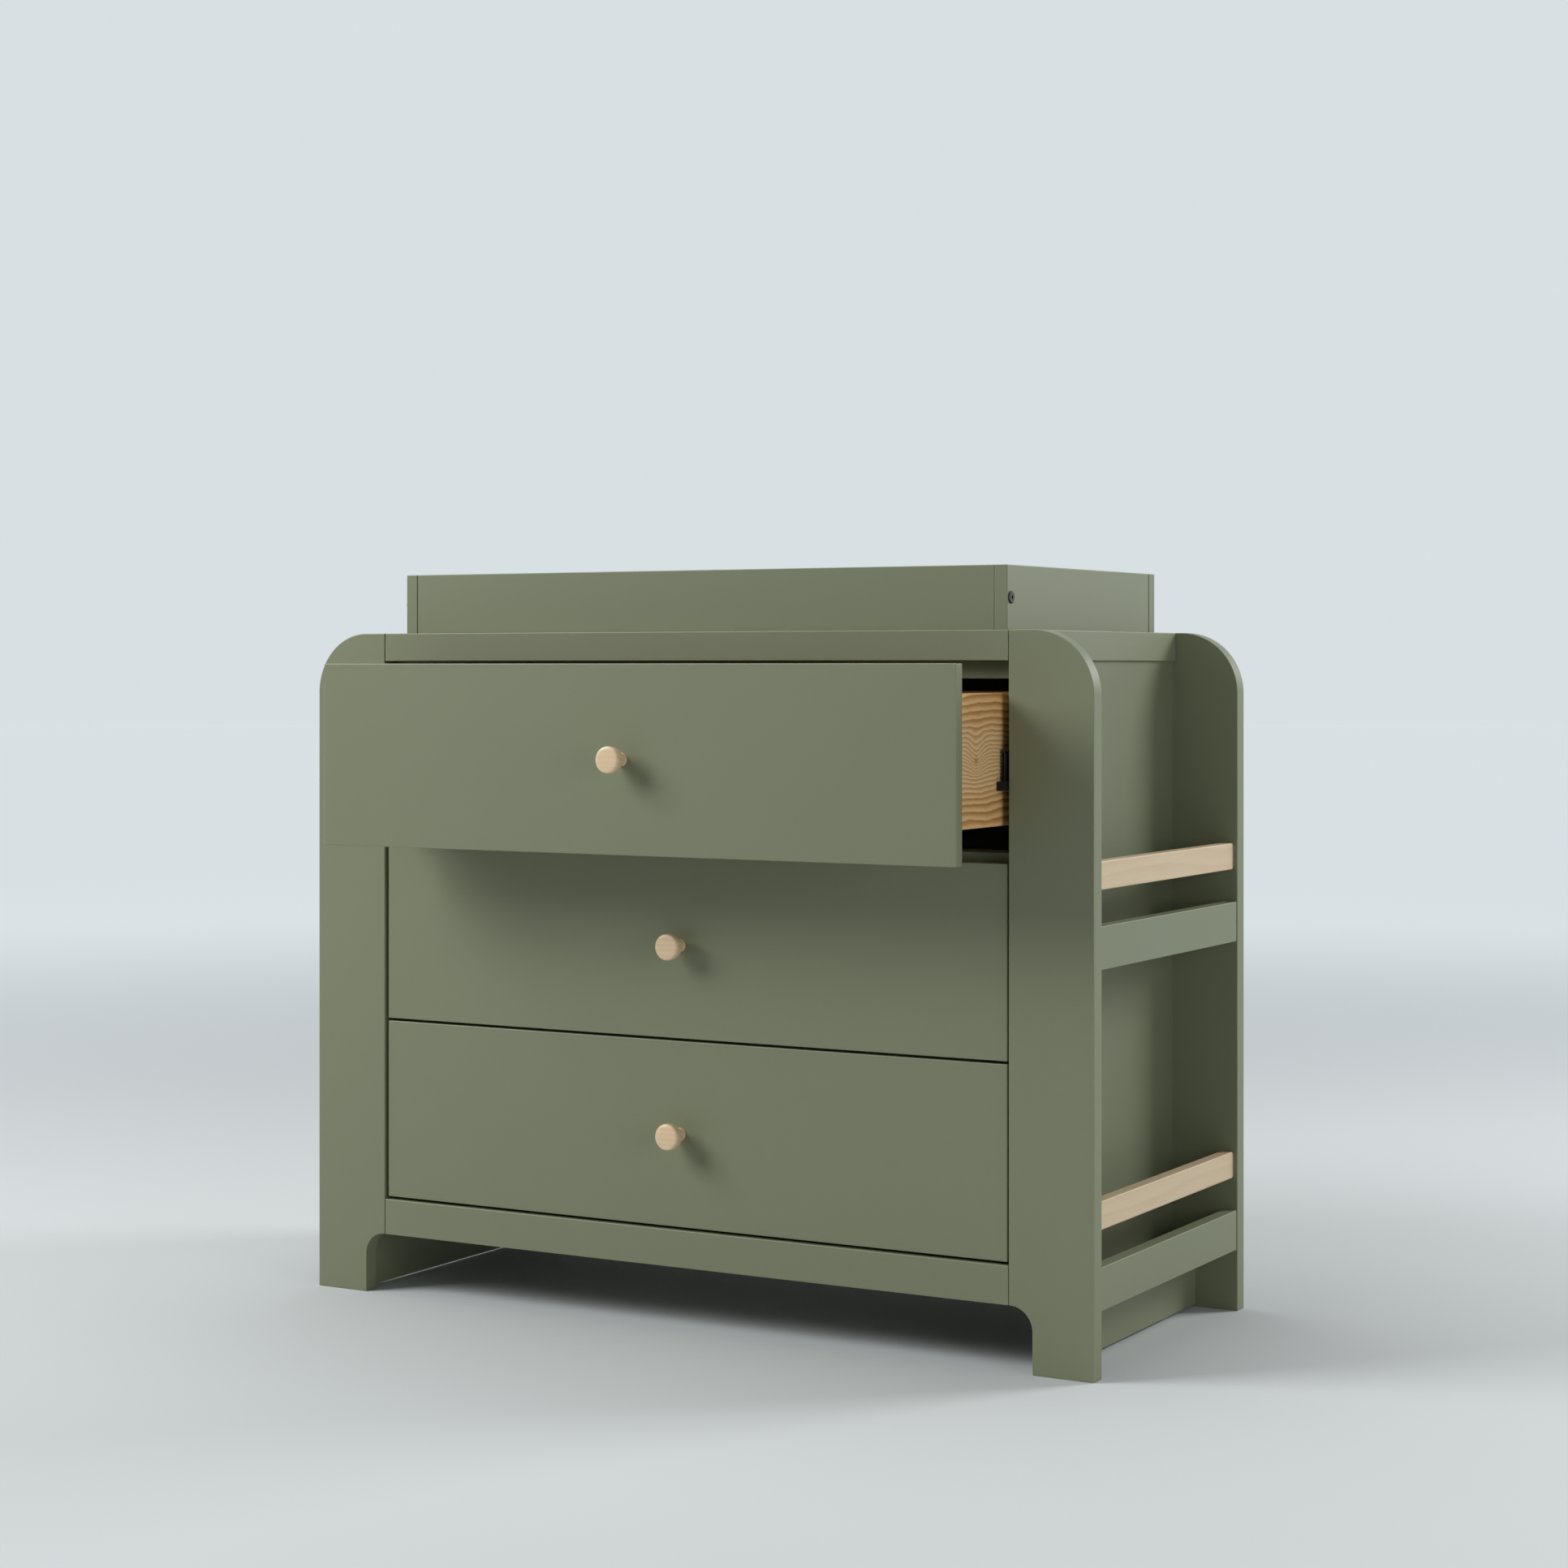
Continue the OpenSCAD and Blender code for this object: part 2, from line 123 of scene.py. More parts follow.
def slab(name, outline, low, high, radius, axes, steps=4):
    """Board of the given outline between two heights, its edges rounded by radius.

    A point of the upper edge is outline - outward * radius * (1 - cos t), at the height
    high - radius * (1 - sin t), and its direction is outward * cos t + up * sin t. The lower edge is its
    mirror image. axes says which of X, Y and Z are the outline's two directions and the height.
    """
    flat, outward = outline
    t = np.radians(np.concatenate([np.linspace(-90, 0, steps + 1), np.linspace(0, 90, steps + 1)]))
    middle = np.repeat([low + radius, high - radius], steps + 1)
    inset = radius * (1 - np.cos(t))
    points = np.zeros((len(t), len(flat), 3))
    directions = np.zeros_like(points)
    for k in range(2):
        points[:, :, axes[k]] = flat[None, :, k] - outward[None, :, k] * inset[:, None]
        directions[:, :, axes[k]] = outward[None, :, k] * np.cos(t)[:, None]
    points[:, :, axes[2]] = (middle + radius * np.sin(t))[:, None]
    directions[:, :, axes[2]] = np.sin(t)[:, None]
    # The edge mask is highest half-way round each rounding; the paint film paints a highlight there.
    edge = np.repeat(np.abs(np.sin(2 * t)), len(flat))
    faces = tube(len(t), len(flat))
    return new_piece(name, points.reshape(-1, 3), faces, directions.reshape(-1, 3), edge)

# %% A board that stands for a frame node
EDGE_R = 1.1 * MM
PINE_EDGE_R = 1.5 * MM
# An outline's corners are a little rounder than its edges, so that an edge's inset never folds over.
CORNER_OVER_EDGE = 1.05
SEAM = 0.9 * MM
# Gaps left at the low and the high end of the topper's boards.
TRAY_SEAMS = {
    "tray_front": (0.9 * MM, 0.15 * MM), "tray_back": (0.0, 0.0),
    "tray_left": (0.0, 2.2 * MM), "tray_right": (0.0, 2.2 * MM),
}


def board(node, body, radius=EDGE_R, seams=(0.0, 0.0)):
    """Softened board that fills a node's own box, its outline in the plane of its two longer sides.

    A board that butts against its neighbours is drawn in by seams at its low and high end.
    """
    low, high = (np.array(corner_point) for corner_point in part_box(node))
    size = high - low
    thin, long = int(np.argmin(size)), int(np.argmax(size))
    low[long] += seams[0]
    high[long] -= seams[1]
    a, b = [k for k in range(3) if k != thin]
    outline = rectangle((low[a], low[b]), (high[a], high[b]), radius * CORNER_OVER_EDGE)
    piece = slab(node + "_board", outline, low[thin], high[thin], radius, (a, b, thin))
    return dress(piece, node, body)


def dress(piece, node, body):
    """Hangs a new piece on a body in place of a node, whose own part is hidden."""
    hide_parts(node)
    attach(piece, body)
    return piece


CARCASS_BOARDS = [
    "rail_top_front", "rail_top_left", "rail_top_right", "apron_front",
    "tray_front", "tray_back", "tray_left", "tray_right",
    "lip_upper_left", "lip_lower_left", "lip_upper_right", "lip_lower_right",
    "rail_top_rear", "apron_rear", "base_board_left", "base_board_right",
]
painted = [
    board(node, "carcass", seams=TRAY_SEAMS.get(node, (SEAM, SEAM)))
    for node in CARCASS_BOARDS
]
painted += [board(f"front_{i}", f"drawer_{i}") for i in (1, 2, 3)]
PINE_BOARDS = [f"{part}_{i}" for i in (1, 2, 3) for part in ("side_left", "side_right", "back")]
pine_boards = {
    node: board(node, "drawer_" + node[-1], radius=PINE_EDGE_R) for node in PINE_BOARDS
}
print("softened boards:", len(painted), "painted and", len(pine_boards), "of pine")

# %% [markdown]
# ## Upright end panels
# The four uprights give the piece its face: a broad round at the outer top corner, and an arched foot
# where the panel meets the apron. Cutting the arch out of a plain board would leave its edge sharp. As
# one outline of six arcs the upright is the same slab as before, and its softened edge runs round the
# arch too. The left-hand ones are the same outline with X turned round.

# %% Uprights
CORNER_R = 77 * MM
ARCH_R = 28.4 * MM
FOOT_W = 78 * MM
ARCH_H = 78 * MM


def upright_outline(inner, outer, height):
    """Right-hand upright seen from the front, anticlockwise from the foot's inner corner."""
    small = EDGE_R * CORNER_OVER_EDGE
    foot = outer - FOOT_W
    return chain([
        turn((foot + small, small), small, 180, 270),
        turn((outer - small, small), small, -90, 0),
        turn((outer - CORNER_R, height - CORNER_R), CORNER_R, 0, 90, steps=36),
        turn((inner + small, height - small), small, 90, 180),
        turn((inner + small, ARCH_H + small), small, 180, 270),
        turn((foot - ARCH_R, ARCH_H - ARCH_R), ARCH_R, 90, 0, steps=18),
    ])


def upright(node):
    """Slab of the upright's outline; a left one has its outline mirrored and its order reversed."""
    low, high = (np.array(corner_point) for corner_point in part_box(node))
    right = high[0] > 0
    inner, outer = (low[0], high[0]) if right else (-high[0], -low[0])
    flat, outward = upright_outline(inner, outer, high[2])
    if not right:
        flat, outward = flat[::-1] * (-1, 1), outward[::-1] * (-1, 1)
    piece = slab(node + "_board", (flat, outward), low[1], high[1], EDGE_R, (0, 2, 1))
    return dress(piece, node, "carcass")


UPRIGHTS = ["upright_front_left", "upright_front_right", "upright_rear_left", "upright_rear_right"]
painted += [upright(node) for node in UPRIGHTS]
print("uprights:", len(UPRIGHTS), "vertices each:", len(painted[-1].data.vertices))

# %% [markdown]
# ## Hardwood book bars
# A bar is a planed hardwood lath with 5 mm round corners and eased edges, so it is the same slab again
# with bigger corners.

# %% Bars
BAR_CORNER = 5 * MM
BAR_EDGE = 1.6 * MM
BARS = ["bar_upper_left", "bar_lower_left", "bar_upper_right", "bar_lower_right"]


def bar(node):
    """Bar along Y with its outline in the plane of Y and Z."""
    low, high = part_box(node)
    outline = rectangle((low[1], low[2]), (high[1], high[2]), BAR_CORNER)
    piece = slab(node + "_lath", outline, low[0], high[0], BAR_EDGE, (1, 2, 0))
    return dress(piece, node, "carcass")


bars = [bar(node) for node in BARS]
print("bars:", len(bars))

# %% [markdown]
# ## Turned knobs
# Each knob is turned from one blank: a stem, a flare that swells into the head, a side that widens very
# slightly, a rounded rim and a face with a faint dome. A Screw modifier could spin a profile into this
# shape. Here a grid of profile points against angles does the same, and it also gives each point's exact
# direction. A machine screw holds the knob from inside the drawer, and its pan head is a second, smaller
# turning.

# %% Turnings
def smooth_profile(corners, per_span=8):
    """Catmull-Rom curve through the corner points: on each span, a cubic with the neighbours' slopes."""
    p = np.array(corners, float)
    p = np.concatenate([[2 * p[0] - p[1]], p, [2 * p[-1] - p[-2]]])
    t = np.linspace(0, 1, per_span, endpoint=False)[:, None]
    spans = [
        0.5 * (2 * b + (c - a) * t + (2 * a - 5 * b + 4 * c - d) * t**2 + (3 * b - a - 3 * c + d) * t**3)
        for a, b, c, d in zip(p, p[1:], p[2:], p[3:])
    ]
    return np.concatenate(spans + [p[-2:-1]])


def turned(name, profile, start, axis, sign, around=64):
    """Surface of revolution: a profile of radius and reach, spun about a line along X or Y (axis 0 or 1).

    A point is start + sign * reach along the axis + (r cos a, r sin a) across it. Its direction comes
    from the profile's slope.
    """
    radius, reach = profile[:, 0], profile[:, 1]
    slope_r, slope_h = np.gradient(radius), np.gradient(reach)
    length = np.hypot(slope_r, slope_h)
    length[length == 0] = 1
    angle = np.linspace(0, 2 * np.pi, around, endpoint=False)

    def spun(across, along):
        grid = np.zeros((len(profile), around, 3))
        grid[:, :, 1 - axis] = np.outer(across, np.cos(angle))
        grid[:, :, 2] = np.outer(across, np.sin(angle))
        grid[:, :, axis] = sign * along[:, None]
        return grid.reshape(-1, 3)

    points = spun(radius, reach) + np.asarray(start)
    directions = spun(slope_h / length, -slope_r / length)
    faces = tube(len(profile), around)
    return new_piece(name, points, faces, directions)


def screw_head(name, body, start, axis, sign, around):
    """Pan head on a body, turned about the line that it looks along."""
    screw = turned(name, SCREW_TURNING, start, axis, sign, around)
    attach(screw, body)
    return screw


# %% Knobs and their screws
# Radius and reach from the face that it stands on, in millimetres.
KNOB_PROFILE = [
    (8.4, 0.1), (8.4, 0.9), (7.9, 3.0), (8.0, 7.0), (8.9, 10.5), (11.1, 14.2), (13.7, 17.2),
    (15.2, 19.6), (15.9, 22.5), (16.35, 26.0), (16.5, 29.0), (16.3, 30.6), (15.4, 31.9),
    (13.8, 32.6), (11.0, 32.85), (5.0, 32.95), (0.4, 32.95),
]
SCREW_PROFILE = [(4.4, 0.05), (4.4, 1.2), (4.1, 2.1), (3.2, 2.8), (2.1, 2.95), (2.0, 1.6), (0.3, 1.5)]
KNOB_TURNING = smooth_profile(KNOB_PROFILE) * MM
SCREW_TURNING = smooth_profile(SCREW_PROFILE, 4) * MM
knobs, screws = [], []
for i in (1, 2, 3):
    low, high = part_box(f"front_{i}")
    centre_z = (low[2] + high[2]) / 2
    knob = turned(f"knob_{i}_turning", KNOB_TURNING, (0, low[1], centre_z), 1, -1)
    knobs.append(dress(knob, f"knob_{i}", f"drawer_{i}"))
    screws.append(screw_head(f"knob_{i}_screw", f"drawer_{i}", (0, high[1], centre_z), 1, 1, 32))
print("knobs:", len(knobs), "vertices each:", len(knobs[0].data.vertices))

# %% [markdown]
# ## Track screws
# Each drawer's track members are held to its sides by three low pan-head screws. They show when the
# drawer is out, inside the black channel, and are the knob screw's turning again, laid along X.

# %% Track screws
TRACK_PLATE = 1.2 * MM
SCREW_SHARES = (0.08, 0.5, 0.92)
for i in (1, 2, 3):
    low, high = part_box(f"track_drawer_{i}")
    centre_z = (low[2] + high[2]) / 2
    face_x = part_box(f"side_right_{i}")[1][0] + TRACK_PLATE
    for side, hand in ((-1, "left"), (1, "right")):
        for n, share in enumerate(SCREW_SHARES):
            spot = (side * face_x, low[1] + share * (high[1] - low[1]), centre_z)
            screws.append(screw_head(f"track_screw_{i}_{hand}_{n}", f"drawer_{i}", spot, 0, side, 24))
print("screws:", len(screws))

# %% [markdown]
# ## Building a material
# Materials here are made of nodes in code. A few small helpers keep that readable: they add a node and
# set or link its sockets by name, give names to the steps that come back in every finish, and open and
# close a node group. Every group takes the place on the piece, and gives a colour, a roughness and a
# height.

# %% Node helpers
# Numbers of the Mix node's sockets when it mixes colours. Its others are for plain numbers and vectors.
MIX_FACTOR, MIX_A, MIX_B, MIX_RESULT = 0, 6, 7, 2


def link_or_set(tree, socket, value):
    """Links a socket to another node's output, or writes a plain value into it."""
    if isinstance(value, bpy.types.NodeSocket):
        tree.links.new(value, socket)
    else:
        socket.default_value = value


def add(tree, kind, sockets=None, **settings):
    """New node of a kind, with its properties in settings and its inputs in sockets."""
    node = tree.nodes.new(kind)
    for name, value in settings.items():
        setattr(node, name, value)
    for name, value in (sockets or {}).items():
        link_or_set(tree, node.inputs[name], value)
    return node


def maths(tree, operation, a, b=0.0, c=0.0):
    """Math node's result for up to three inputs."""
    return add(tree, "ShaderNodeMath", {0: a, 1: b, 2: c}, operation=operation).outputs[0]


def swing(tree, value, depth, base):
    """base + (value - 0.5) * depth: noise as a swing to both sides of a base."""
    return maths(tree, "MULTIPLY_ADD", maths(tree, "SUBTRACT", value, 0.5), depth, base)


def bell(tree, x, wide, y, tall):
    """Bell over a spot: e to the power of -((x / wide)^2 + (y / tall)^2)."""
    squares = [maths(tree, "POWER", maths(tree, "DIVIDE", a, b), 2.0) for a, b in ((x, wide), (y, tall))]
    return maths(tree, "EXPONENT", maths(tree, "MULTIPLY", maths(tree, "ADD", *squares), -1.0))


def ramp_between(tree, value, low, high, to_low=0.0, to_high=1.0):
    """Smooth step: to_low below low, to_high above high, an S-curve between."""
    sockets = {"Value": value, "From Min": low, "From Max": high, "To Min": to_low, "To Max": to_high}
    return add(tree, "ShaderNodeMapRange", sockets, interpolation_type="SMOOTHSTEP").outputs["Result"]


def stretched(tree, vector, factors):
    """Coordinates times three factors, so that a noise on them is finer where a factor is larger."""
    return add(tree, "ShaderNodeVectorMath", {0: vector, 1: factors}, operation="MULTIPLY").outputs[0]


def noise(tree, vector, scale, detail=2.0, rough=0.5):
    """Noise texture's grey value on the given coordinates."""
    sockets = {"Vector": vector, "Scale": scale, "Detail": detail, "Roughness": rough}
    return add(tree, "ShaderNodeTexNoise", sockets).outputs["Fac"]


def blend_colour(tree, factor, a, b):
    """Mix of two colours."""
    node = add(tree, "ShaderNodeMix", data_type="RGBA")
    for index, value in ((MIX_FACTOR, factor), (MIX_A, a), (MIX_B, b)):
        link_or_set(tree, node.inputs[index], value)
    return node.outputs[MIX_RESULT]


# %% Node groups and colours
# What every group gives, and each one's kind of socket.
GIVES = {"Colour": "NodeSocketColor", "Roughness": "NodeSocketFloat", "Height": "NodeSocketFloat"}


def group(name, inputs):
    """Empty node group that takes a Vector and the inputs, and gives a colour, a roughness and a height.

    inputs maps names to defaults. Four numbers make a colour socket, and one a plain socket.
    """
    tree = bpy.data.node_groups.new(name, "ShaderNodeTree")
    tree.interface.new_socket("Vector", in_out="INPUT", socket_type="NodeSocketVector")
    for label, default in inputs.items():
        kind = "NodeSocketColor" if isinstance(default, tuple) else "NodeSocketFloat"
        tree.interface.new_socket(label, in_out="INPUT", socket_type=kind).default_value = default
    for label, kind in GIVES.items():
        tree.interface.new_socket(label, in_out="OUTPUT", socket_type=kind)
    return tree, tree.nodes.new("NodeGroupInput").outputs, tree.nodes.new("NodeGroupOutput")


def hand_out(tree, result, colour, roughness, height):
    """Links what a group worked out to its outputs, and returns the finished group."""
    for label, value in zip(GIVES, (colour, roughness, height)):
        tree.links.new(value, result.inputs[label])
    return tree


def srgb(red, green, blue):
    """Display colour of 0 to 255 per channel as the linear colour that shaders use."""
    c = np.array([red, green, blue]) / 255
    linear = np.where(c <= 0.04045, c / 12.92, ((c + 0.055) / 1.055) ** 2.4)
    return (*linear.tolist(), 1.0)


MID_GREY = srgb(128, 128, 128)
print("middle grey as shaders see it:", round(MID_GREY[0], 3))

# %% [markdown]
# ## Sprayed paint
# Satin furniture paint looks plain from across a room, but it is not one flat colour. The spray leaves
# a faint orange peel about a millimetre across, and the film varies a little in tone over the width of a
# board. A softened edge is also painted a shade paler, a painted highlight where the rounding catches the
# light. An image of paint would have to be wrapped round every board. Noise in the piece's own metres
# needs no wrapping, and one group works it all out for both greens: the sage, and a copy of it darkened
# as painted shade.

# %% Paint film group
# Noise scales, in cells per metre: the peel, the speckle, the drift of the gloss and the mottling.
PEEL, SPECKLE, DRIFT, MOTTLE = 700, 420, 9, 2.2
SPECKLE_DEPTH = 0.035
DRIFT_DEPTH = 0.10


def build_paint_film():
    """Colour times (1 + mottling + speckle + painted highlight at an edge); peel height; roughness that
    drifts.
    """
    tree, given, result = group(
        "paint_film",
        {"Colour": MID_GREY, "Painted edge highlight": 0.30, "Mottle": 0.05, "Roughness": 0.42})
    vector = given["Vector"]
    tone = swing(tree, noise(tree, vector, MOTTLE, detail=3), given["Mottle"], 1.0)
    fine = swing(tree, noise(tree, vector, SPECKLE, detail=2), SPECKLE_DEPTH, tone)
    # Where the edge mask is high the colour is lifted a shade: a painted highlight on the softened edges.
    edge = add(tree, "ShaderNodeAttribute", attribute_name="edge").outputs["Fac"]
    value = maths(tree, "ADD", fine, maths(tree, "MULTIPLY", edge, given["Painted edge highlight"]))
    shade = add(tree, "ShaderNodeHueSaturation", {"Color": given["Colour"], "Value": value}).outputs[0]
    gloss = swing(tree, noise(tree, vector, DRIFT, detail=2), DRIFT_DEPTH, given["Roughness"])
    return hand_out(tree, result, shade, gloss, noise(tree, vector, PEEL, detail=1))


paint_film = build_paint_film()
print("group:", paint_film.name)

# %% A material and its shader
def new_material(name, **shader_values):
    """Material whose Principled BSDF is ready; plain values go on the shader's own sockets."""
    material = bpy.data.materials.new(name)
    material.use_nodes = True
    tree = material.node_tree
    shader = tree.nodes["Principled BSDF"]
    for label, value in shader_values.items():
        shader.inputs[label.replace("_", " ")].default_value = value
    place = tree.nodes.new("ShaderNodeTexCoord").outputs["Object"]
    return material, tree, shader, place


def along_grain(tree, place, order, offset):
    """Object coordinates with the grain's direction put first; order such as "YZX" names the three."""
    part = add(tree, "ShaderNodeSeparateXYZ", {0: place}).outputs
    pick = dict(zip("XYZ", part))
    joined = add(tree, "ShaderNodeCombineXYZ", {k: pick[letter] for k, letter in enumerate(order)})
    moved = add(tree, "ShaderNodeVectorMath", {0: joined.outputs[0], 1: offset}, operation="ADD")
    return moved.outputs[0]


def made_of(name, figure, relief, sockets, order=None, offset=(0.0, 0.0, 0.0), **shader_values):
    """Material of one group: its colour and roughness go to the shader, and its height to a bump.

    relief is the bump's strength and depth; sockets are the group's own inputs.
    """
    material, tree, shader, place = new_material(name, **shader_values)
    vector = along_grain(tree, place, order, offset) if order else place
    out = add(tree, "ShaderNodeGroup", {"Vector": vector, **sockets}, node_tree=figure).outputs
    tree.links.new(out["Colour"], shader.inputs["Base Color"])
    tree.links.new(out["Roughness"], shader.inputs["Roughness"])
    strength, depth = relief
    bump = add(tree, "ShaderNodeBump", {"Height": out["Height"], "Strength": strength, "Distance": depth})
    tree.links.new(bump.outputs["Normal"], shader.inputs["Normal"])
    return material


def paint(name, colour, roughness):
    """Satin paint of one colour."""
    return made_of(name, paint_film, (0.06, 0.0006), {"Colour": colour, "Roughness": roughness},
                   Specular_IOR_Level=0.32)


sage = paint("sage_satin_paint", srgb(123, 128, 103), 0.42)
# A darker copy of the sage for the case's inner parts and niche walls: painted shade, for the dimmer
# light in the recesses.
sage_shaded = paint("sage_shaded_paint", srgb(113, 118, 94), 0.5)
print("paints:", sage.name, sage_shaded.name)

# %% [markdown]
# ## Wood figure
# Wood is laid down in rings, and a board shows them as bands: pale early wood that darkens slowly into
# a thin late line, then stops sharply. Running along the bands are fibres, and in beech tiny dark
# pores. The group takes coordinates with X along the grain and works the bands out from a distance
# across it, bent by slow noise. The bars, the knobs and the drawer bottoms are the same group with
# other values.

# %% Wood figure group
# Each noise's fineness along the grain and across it, in cells per metre.
WANDER_FINE = (2.2, 9.0, 9.0)
RIPPLE_FINE = (16.0, 70.0, 70.0)
FIBRE_FINE = (14.0, 1500.0, 1500.0)
PORE_FINE = (260.0, 2600.0, 2600.0)
RIPPLE_SHARE = 0.08
# Where in its width a band is at its darkest, and where it starts to stop.
BAND_FULL, BAND_STOP = 0.93, 0.94
PORE_FROM, PORE_TO = 0.62, 0.74
BAND_RELIEF = 0.4
GLOSS_SWING = 0.12


def build_wood_figure():
    """Bands from fract(distance / width), rising slowly and falling fast; fibres and pores from noise.

    The colour goes from pale to band by the bands, then by the fibres, and to pore by the pores, each
    to its own depth.
    """
    tree, given, result = group(
        "wood_figure",
        {"Width": 0.006, "Wander": 0.02, "Slant": 0.3, "Line": 0.35,
         "Pale": MID_GREY, "Band": MID_GREY, "Pore": MID_GREY,
         "Band depth": 0.25, "Fibre depth": 0.4, "Pore depth": 0.2, "Roughness": 0.45})
    vector = given["Vector"]
    part = add(tree, "ShaderNodeSeparateXYZ", {0: vector}).outputs
    ripple = noise(tree, stretched(tree, vector, RIPPLE_FINE), 1.0, detail=1)
    quick = maths(tree, "MULTIPLY", maths(tree, "SUBTRACT", ripple, 0.5), RIPPLE_SHARE)
    slow = maths(tree, "SUBTRACT", noise(tree, stretched(tree, vector, WANDER_FINE), 1.0, detail=1), 0.5)
    bend = maths(tree, "MULTIPLY", maths(tree, "ADD", slow, quick), given["Wander"])
    across = maths(tree, "MULTIPLY_ADD", part[2], given["Slant"], part[1])
    rise = maths(tree, "FRACT", maths(tree, "DIVIDE", maths(tree, "ADD", across, bend), given["Width"]))
    late = ramp_between(tree, rise, maths(tree, "SUBTRACT", 1.0, given["Line"]), BAND_FULL)
    bands = maths(tree, "MULTIPLY", late, ramp_between(tree, rise, BAND_STOP, 1.0, 1.0, 0.0))
    fibres = noise(tree, stretched(tree, vector, FIBRE_FINE), 1.0, detail=2, rough=0.6)
    fleck = noise(tree, stretched(tree, vector, PORE_FINE), 1.0, detail=0)
    pores = ramp_between(tree, fleck, PORE_FROM, PORE_TO)
    height = maths(tree, "SUBTRACT", maths(tree, "MULTIPLY_ADD", bands, BAND_RELIEF, fibres), pores)
    colour = given["Pale"]
    for mask, depth, target in ((bands, "Band depth", "Band"), (fibres, "Fibre depth", "Band"),
                                (pores, "Pore depth", "Pore")):
        colour = blend_colour(tree, maths(tree, "MULTIPLY", mask, given[depth]), colour, given[target])
    gloss = swing(tree, fibres, GLOSS_SWING, given["Roughness"])
    return hand_out(tree, result, colour, gloss, height)


wood_figure = build_wood_figure()
print("group:", wood_figure.name)

# %% Woods
PORE = srgb(150, 118, 80)


def wood(name, order, pale, band, figure, depths, roughness, coat):
    """Lacquered wood.

    figure is the bands' width, wander, slant and line, and depths are those of bands, fibres and pores.
    """
    sockets = dict(zip(("Width", "Wander", "Slant", "Line"), figure))
    sockets.update(zip(("Band depth", "Fibre depth", "Pore depth"), depths))
    sockets.update({"Pale": pale, "Band": band, "Pore": PORE, "Roughness": roughness})
    return made_of(name, wood_figure, (0.18, 0.0003), sockets, order,
                   Coat_Weight=coat, Coat_Roughness=0.25)


bar_wood = wood("pale_hardwood", "YZX", srgb(211, 191, 160), srgb(186, 157, 120),
                (0.016, 0.060, 0.4, 0.85), (0.25, 0.42, 0.25), 0.45, 0.15)
knob_wood = wood("turned_beech", "XZY", srgb(232, 206, 170), srgb(202, 166, 124),
                 (0.0065, 0.012, 0.25, 0.8), (0.25, 0.35, 0.2), 0.36, 0.35)
plywood = wood("drawer_plywood", "XYZ", srgb(206, 180, 138), srgb(178, 146, 100),
               (0.022, 0.12, 0.3, 0.7), (0.4, 0.4, 0.2), 0.5, 0.15)
print("woods:", bar_wood.name, knob_wood.name, plywood.name)

# %% [markdown]
# ## Pine with a knot
# The drawer sides are flat-sawn pine, the liveliest surface on the piece: broad honey bands near the
# edges of the board, tight lines through its middle, and a small knot that the lines sag round. The
# band count across the board is a steady term plus a tanh term, so the lines crowd together in the
# middle, and near each knot a bell-shaped term pulls them down.

# %% Pine group
# Lengths are in metres. Far from the board's middle a year's ring is RING_W wide. Towards the middle,
# over about RING_REACH, most of RING_CROWD more are squeezed in on each side.
RING_W = 0.0125
RING_REACH = 0.034
RING_CROWD = 6.0
SLOW_BEND = 0.018
QUICK_BEND = 0.0042
# Knots repeat along the board. The lines sag round each, over a bell that lies a little above it.
KNOT_STEP = 0.31
KNOT_LONG, KNOT_TALL = 0.0045, 0.0035
SAG = 0.011
SAG_LONG, SAG_TALL = 0.020, 0.026
SAG_ABOVE = 0.010
# From the first to the second of these distances from the middle, the wood grows deeper in colour.
ZONE_FROM, ZONE_TO = 0.024, 0.050
# The part of a ring's width over which its colour comes up.
LATE_FROM, LATE_TO = 0.10, 0.84
BAND_DEPTH, BAND_DEEPENS = 0.62, 0.20
PALE_ROUGHNESS, BAND_GLOSS = 0.5, -0.10


